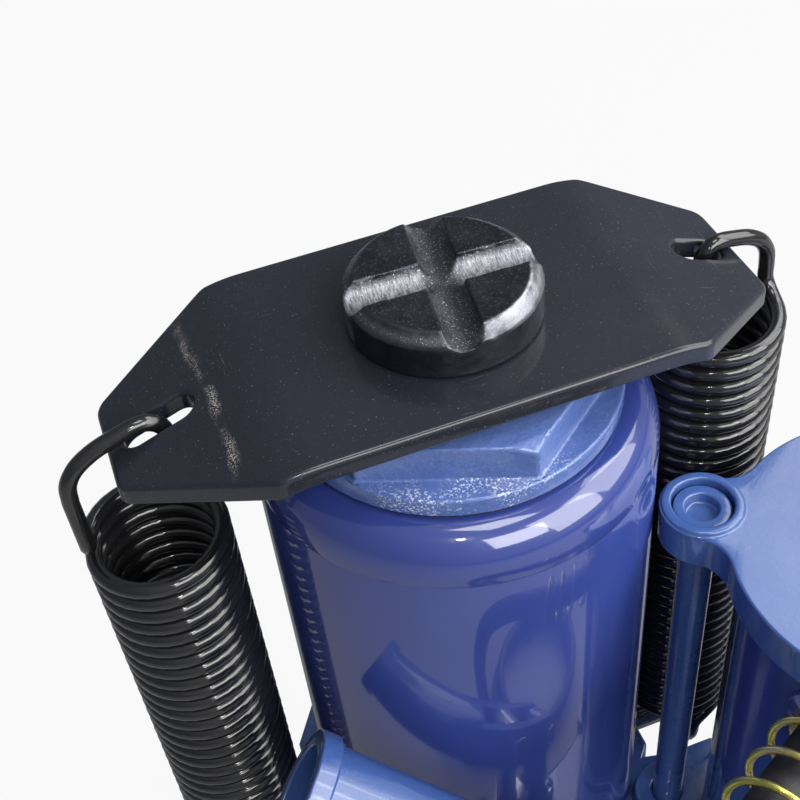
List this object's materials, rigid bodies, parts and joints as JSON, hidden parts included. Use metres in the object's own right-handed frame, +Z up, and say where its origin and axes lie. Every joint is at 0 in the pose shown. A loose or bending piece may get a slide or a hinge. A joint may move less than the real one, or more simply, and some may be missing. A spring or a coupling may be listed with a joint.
{
  "type": "bottle jack",
  "caption": "Bottle jack with screw-out saddle, hand pump and air motor, pulled down by coil springs hooked to a bent top plate.",
  "frame": {"origin": "on the ram's axis at the underside of the base casting, which is the floor", "axes": "+Z up along the ram, +X to the right along the spring plate, -Y towards the hand pump and the air motor"},
  "size_m": [0.277, 0.4203, 0.2646],
  "materials": {
    "blue_enamel": "gloss enamel over castings and tube",
    "black_enamel": "gloss black paint with wear",
    "dark_steel": "blackened steel, worn bright on the edges",
    "bright_steel": "ground",
    "brass_fitting": "turned",
    "yellow_zinc": "yellow passivated zinc plating",
    "black_rubber": "matt",
    "valve_alloy": "satin"
  },
  "bodies": {
    "base": {"base_casting": "blue_enamel", "tank": "blue_enamel", "tank_gasket": "black_rubber", "tank_seal": "black_rubber", "tank_nut": "blue_enamel", "ram_wiper": "black_rubber", "pressure_cylinder": "bright_steel", "cylinder_washer": "brass_fitting", "filler_plug": "black_rubber", "safety_valve_screw": "bright_steel", "check_balls": "bright_steel", "check_springs": "bright_steel", "check_plugs": "bright_steel", "spring_anchor_bolts": "bright_steel", "left_return_spring": "black_enamel", "right_return_spring": "black_enamel", "pump_barrel": "blue_enamel", "pump_gland": "bright_steel", "link_pin": "bright_steel", "motor_cylinder": "blue_enamel", "motor_gasket": "black_rubber", "motor_cover": "blue_enamel", "motor_tie_bolts": "blue_enamel", "motor_gland": "brass_fitting", "shuttle_valve": "brass_fitting", "motor_spring": "bright_steel", "exhaust_muffler": "brass_fitting", "hose_fitting": "brass_fitting", "hose_guard": "yellow_zinc", "air_hose": "black_rubber", "hose_coil": "black_rubber", "hose_tail": "black_rubber", "coil_straps": "black_rubber", "hose_ferrule": "brass_fitting", "valve_body": "valve_alloy", "lever_pin": "bright_steel"},
    "ram": {"ram": "bright_steel", "piston": "bright_steel", "piston_seal": "black_rubber", "spring_plate": "black_enamel"},
    "stop_ring": {"stop_ring": "dark_steel"},
    "extension_screw": {"extension_screw": "dark_steel", "saddle": "dark_steel"},
    "pump_plunger": {"pump_plunger": "bright_steel", "plunger_pin": "bright_steel"},
    "handle_socket": {"handle_socket": "blue_enamel", "fulcrum_pin": "bright_steel"},
    "fulcrum_link": {"fulcrum_link": "blue_enamel"},
    "release_valve": {"release_valve": "bright_steel"},
    "air_piston": {"air_piston": "bright_steel", "air_piston_ring": "black_rubber"},
    "valve_lever": {"valve_lever": "yellow_zinc"},
    "valve_stem": {"valve_stem": "brass_fitting"}
  },
  "joints": [
    {"name": "ram_slide", "type": "slide", "parent": "base", "child": "ram", "axis": [0, 0, 1], "range_m": [0, 0.16], "deforming": ["left_return_spring", "right_return_spring"]},
    {"name": "screw_rise", "type": "slide", "parent": "ram", "child": "stop_ring", "axis": [0, 0, 1], "range_m": [0, 0.0741]},
    {"name": "screw_turn", "type": "hinge", "parent": "stop_ring", "child": "extension_screw", "pos_m": [0, 0, 0.2], "axis": [0, 0, 1], "range_deg": [0, 4440]},
    {"name": "plunger_slide", "type": "slide", "parent": "base", "child": "pump_plunger", "axis": [0, 0, -1], "range_m": [0, 0.0242]},
    {"name": "pump_swing", "type": "hinge", "parent": "pump_plunger", "child": "handle_socket", "pos_m": [-0.013, -0.089, 0.11], "axis": [-0.5446, -0.8387, 0], "range_deg": [0, 45]},
    {"name": "link_swing", "type": "hinge", "parent": "base", "child": "fulcrum_link", "pos_m": [0.01047, -0.10424, 0.044], "axis": [0.5446, 0.8387, 0], "range_deg": [0, 5]},
    {"name": "release_turn", "type": "hinge", "parent": "base", "child": "release_valve", "pos_m": [-0.046, -0.089, 0.014], "axis": [-1, 0, 0], "range_deg": [0, 540]},
    {"name": "air_piston_slide", "type": "slide", "parent": "base", "child": "air_piston", "axis": [0, 0, -1], "range_m": [0, 0.04], "stiffness_N_per_m": 900, "springref_m": -0.02, "deforming": ["motor_spring"]},
    {"name": "lever_press", "type": "hinge", "parent": "base", "child": "valve_lever", "pos_m": [-0.094, -0.173, 0.029], "axis": [0, 1, 0], "range_deg": [0, 9], "stiffness_Nm_per_rad": 0.6, "springref_deg": -8.59},
    {"name": "stem_slide", "type": "slide", "parent": "base", "child": "valve_stem", "axis": [0, 0, -1], "range_m": [0, 0.0029]}
  ],
  "couplings": [
    {"joint": "screw_rise", "follows": "screw_turn", "m_per_rad": 0.00095493},
    {"joint": "plunger_slide", "follows": "pump_swing", "m_per_rad": 0.030536},
    {"joint": "link_swing", "follows": "pump_swing", "ratio": 0.11},
    {"joint": "stem_slide", "follows": "lever_press", "m_per_rad": 0.018}
  ]
}
